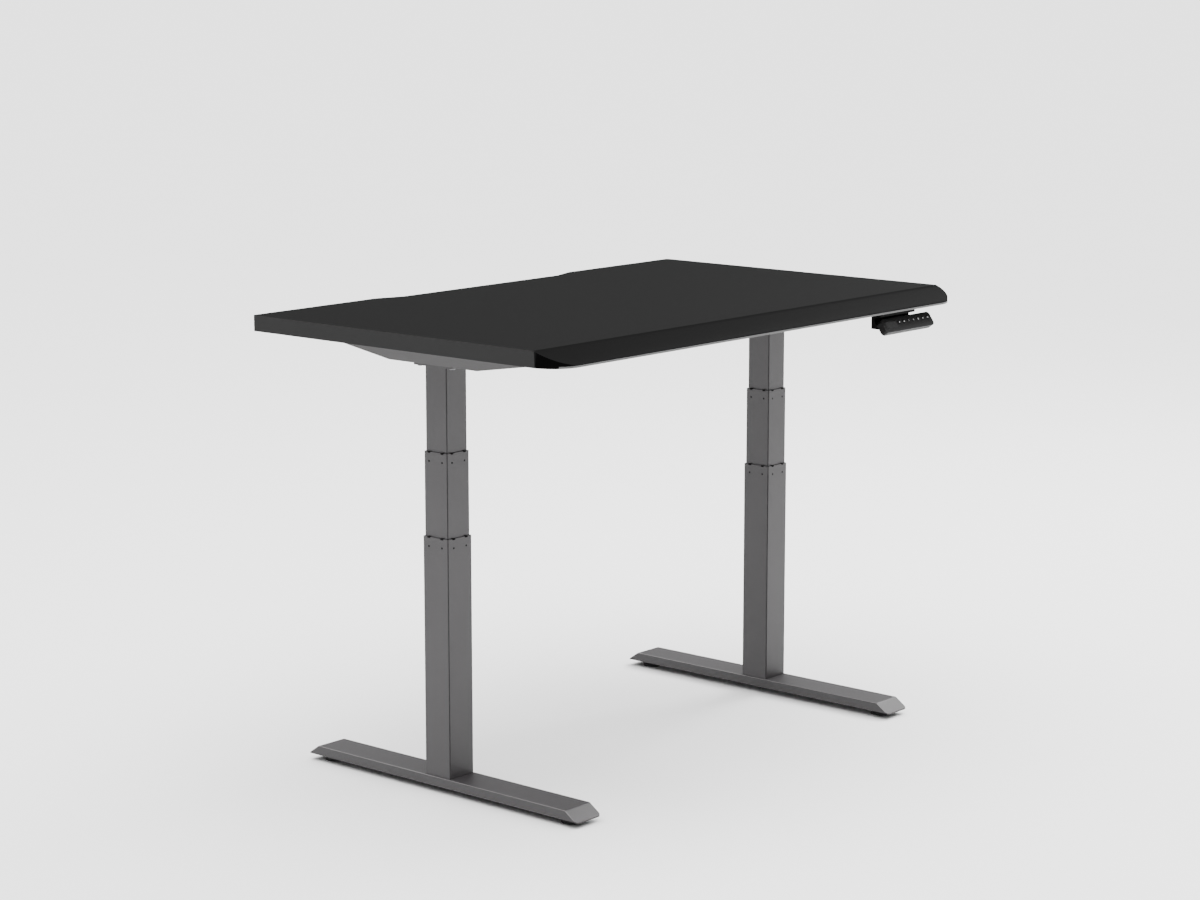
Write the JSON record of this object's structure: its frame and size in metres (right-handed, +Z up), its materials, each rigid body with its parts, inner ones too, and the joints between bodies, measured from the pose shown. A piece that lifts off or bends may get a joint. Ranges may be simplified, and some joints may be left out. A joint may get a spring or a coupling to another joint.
{
  "type": "height adjustable standing desk",
  "caption": "Rectangular matte black desk with a rounded front edge and a shallow rear cable notch, on two telescoping square grey columns with long low feet and an under-edge button handset.",
  "frame": {"origin": "on the floor, under the middle of the desktop", "axes": "+X to the right as a seated person sees it, +Y towards the rear edge with the cable notch, +Z up"},
  "size_m": [1.2192, 0.762, 0.876],
  "materials": {
    "laminate": "matte pebbled black laminate on a wood-based core",
    "edge_strip": "satin mid-grey",
    "painted_steel": "fine-textured satin grey powder coat",
    "glide_plastic": "matte black moulded",
    "cast_alloy": "as-cast",
    "motor_paint": "satin black",
    "gear_brass": "machined",
    "bright_steel": "zinc plated",
    "pad_plastic": "matte black moulded",
    "housing_plastic": "fine-textured black moulded",
    "circuit_board": "solder-masked",
    "smoked_lens": "smooth smoked",
    "lead_jacket": "satin black",
    "button_plastic": "matte black moulded"
  },
  "bodies": {
    "base": {"left_foot": "painted_steel", "right_foot": "painted_steel", "left_outer_tube": "painted_steel", "right_outer_tube": "painted_steel", "outer_glides": "glide_plastic", "foot_bolts": "bright_steel", "spindle_tubes": "bright_steel", "spindle_nuts": "gear_brass"},
    "lifted_top": {"left_inner_tube": "painted_steel", "right_inner_tube": "painted_steel", "inner_glides": "glide_plastic", "left_head_plate": "painted_steel", "right_head_plate": "painted_steel", "left_side_bracket": "painted_steel", "right_side_bracket": "painted_steel", "left_gearbox": "cast_alloy", "right_gearbox": "cast_alloy", "left_motor": "motor_paint", "right_motor": "motor_paint", "rails": "painted_steel", "rail_ends": "painted_steel", "frame_screws": "bright_steel", "desktop": "laminate", "front_strip": "edge_strip", "control_box": "housing_plastic", "control_box_lid": "housing_plastic", "control_board": "circuit_board", "power_inlet": "housing_plastic", "handset_shell": "housing_plastic", "handset_mount": "housing_plastic", "handset_lens": "smoked_lens", "handset_board": "circuit_board", "motor_leads": "lead_jacket", "handset_lead": "lead_jacket", "cable_clips": "glide_plastic"},
    "left_middle_stage": {"left_middle_tube": "painted_steel", "left_middle_glides": "glide_plastic"},
    "left_hollow_screw": {"left_lead_screw": "bright_steel"},
    "left_rod_and_wheel": {"left_drive_rod": "bright_steel", "left_worm_wheel": "gear_brass"},
    "left_front_levelling_pad": {"left_front_pad": "pad_plastic"},
    "left_front_levelling_stud": {"left_front_stud": "bright_steel"},
    "left_rear_levelling_pad": {"left_rear_pad": "pad_plastic"},
    "left_rear_levelling_stud": {"left_rear_stud": "bright_steel"},
    "right_middle_stage": {"right_middle_tube": "painted_steel", "right_middle_glides": "glide_plastic"},
    "right_hollow_screw": {"right_lead_screw": "bright_steel"},
    "right_rod_and_wheel": {"right_drive_rod": "bright_steel", "right_worm_wheel": "gear_brass"},
    "right_front_levelling_pad": {"right_front_pad": "pad_plastic"},
    "right_front_levelling_stud": {"right_front_stud": "bright_steel"},
    "right_rear_levelling_pad": {"right_rear_pad": "pad_plastic"},
    "right_rear_levelling_stud": {"right_rear_stud": "bright_steel"},
    "push_button_1": {"button_1": "button_plastic"},
    "push_button_2": {"button_2": "button_plastic"},
    "push_button_3": {"button_3": "button_plastic"},
    "push_button_4": {"button_4": "button_plastic"},
    "push_button_5": {"button_5": "button_plastic"},
    "push_button_6": {"button_6": "button_plastic"},
    "push_button_7": {"button_7": "button_plastic"}
  },
  "joints": [
    {"name": "lift", "type": "slide", "parent": "base", "child": "lifted_top", "axis": [0, 0, 1], "range_m": [-0.3, 0.355]},
    {"name": "left_middle_slide", "type": "slide", "parent": "base", "child": "left_middle_stage", "axis": [0, 0, 1], "range_m": [-0.15, 0.1775]},
    {"name": "left_screw_turn", "type": "hinge", "parent": "left_middle_stage", "child": "left_hollow_screw", "pos_m": [-0.48, 0.006, 0], "axis": [0, 0, 1], "range_deg": [-3376, 3994.8]},
    {"name": "left_rod_turn", "type": "hinge", "parent": "lifted_top", "child": "left_rod_and_wheel", "pos_m": [-0.48, 0.006, 0], "axis": [0, 0, 1], "range_deg": [-6751, 7988.5]},
    {"name": "left_front_pad_height", "type": "slide", "parent": "base", "child": "left_front_levelling_pad", "axis": [0, 0, 1], "range_m": [-0.008, 0.003]},
    {"name": "left_front_stud_turn", "type": "hinge", "parent": "left_front_levelling_pad", "child": "left_front_levelling_stud", "pos_m": [-0.48, -0.299, 0], "axis": [0, 0, 1], "range_deg": [-2305, 865]},
    {"name": "left_rear_pad_height", "type": "slide", "parent": "base", "child": "left_rear_levelling_pad", "axis": [0, 0, 1], "range_m": [-0.008, 0.003]},
    {"name": "left_rear_stud_turn", "type": "hinge", "parent": "left_rear_levelling_pad", "child": "left_rear_levelling_stud", "pos_m": [-0.48, 0.311, 0], "axis": [0, 0, 1], "range_deg": [-2305, 865]},
    {"name": "right_middle_slide", "type": "slide", "parent": "base", "child": "right_middle_stage", "axis": [0, 0, 1], "range_m": [-0.15, 0.1775]},
    {"name": "right_screw_turn", "type": "hinge", "parent": "right_middle_stage", "child": "right_hollow_screw", "pos_m": [0.48, 0.006, 0], "axis": [0, 0, 1], "range_deg": [-3376, 3994.8]},
    {"name": "right_rod_turn", "type": "hinge", "parent": "lifted_top", "child": "right_rod_and_wheel", "pos_m": [0.48, 0.006, 0], "axis": [0, 0, 1], "range_deg": [-6751, 7988.5]},
    {"name": "right_front_pad_height", "type": "slide", "parent": "base", "child": "right_front_levelling_pad", "axis": [0, 0, 1], "range_m": [-0.008, 0.003]},
    {"name": "right_front_stud_turn", "type": "hinge", "parent": "right_front_levelling_pad", "child": "right_front_levelling_stud", "pos_m": [0.48, -0.299, 0], "axis": [0, 0, 1], "range_deg": [-2305, 865]},
    {"name": "right_rear_pad_height", "type": "slide", "parent": "base", "child": "right_rear_levelling_pad", "axis": [0, 0, 1], "range_m": [-0.008, 0.003]},
    {"name": "right_rear_stud_turn", "type": "hinge", "parent": "right_rear_levelling_pad", "child": "right_rear_levelling_stud", "pos_m": [0.48, 0.311, 0], "axis": [0, 0, 1], "range_deg": [-2305, 865]},
    {"name": "button_1_press", "type": "slide", "parent": "lifted_top", "child": "push_button_1", "axis": [0, 0.8192, -0.5736], "range_m": [0, 0.001], "stiffness_N_per_m": 1500, "springref_m": -0.0003},
    {"name": "button_2_press", "type": "slide", "parent": "lifted_top", "child": "push_button_2", "axis": [0, 0.8192, -0.5736], "range_m": [0, 0.001], "stiffness_N_per_m": 1500, "springref_m": -0.0003},
    {"name": "button_3_press", "type": "slide", "parent": "lifted_top", "child": "push_button_3", "axis": [0, 0.8192, -0.5736], "range_m": [0, 0.001], "stiffness_N_per_m": 1500, "springref_m": -0.0003},
    {"name": "button_4_press", "type": "slide", "parent": "lifted_top", "child": "push_button_4", "axis": [0, 0.8192, -0.5736], "range_m": [0, 0.001], "stiffness_N_per_m": 1500, "springref_m": -0.0003},
    {"name": "button_5_press", "type": "slide", "parent": "lifted_top", "child": "push_button_5", "axis": [0, 0.8192, -0.5736], "range_m": [0, 0.001], "stiffness_N_per_m": 1500, "springref_m": -0.0003},
    {"name": "button_6_press", "type": "slide", "parent": "lifted_top", "child": "push_button_6", "axis": [0, 0.8192, -0.5736], "range_m": [0, 0.001], "stiffness_N_per_m": 1500, "springref_m": -0.0003},
    {"name": "button_7_press", "type": "slide", "parent": "lifted_top", "child": "push_button_7", "axis": [0, 0.8192, -0.5736], "range_m": [0, 0.001], "stiffness_N_per_m": 1500, "springref_m": -0.0003}
  ],
  "couplings": [
    {"joint": "left_middle_slide", "follows": "lift", "ratio": 0.5},
    {"joint": "left_screw_turn", "follows": "lift", "rad_per_m": 196.35},
    {"joint": "left_rod_turn", "follows": "lift", "rad_per_m": 392.7},
    {"joint": "left_front_stud_turn", "follows": "left_front_pad_height", "rad_per_m": 5026.5},
    {"joint": "left_rear_stud_turn", "follows": "left_rear_pad_height", "rad_per_m": 5026.5},
    {"joint": "right_middle_slide", "follows": "lift", "ratio": 0.5},
    {"joint": "right_screw_turn", "follows": "lift", "rad_per_m": 196.35},
    {"joint": "right_rod_turn", "follows": "lift", "rad_per_m": 392.7},
    {"joint": "right_front_stud_turn", "follows": "right_front_pad_height", "rad_per_m": 5026.5},
    {"joint": "right_rear_stud_turn", "follows": "right_rear_pad_height", "rad_per_m": 5026.5}
  ]
}
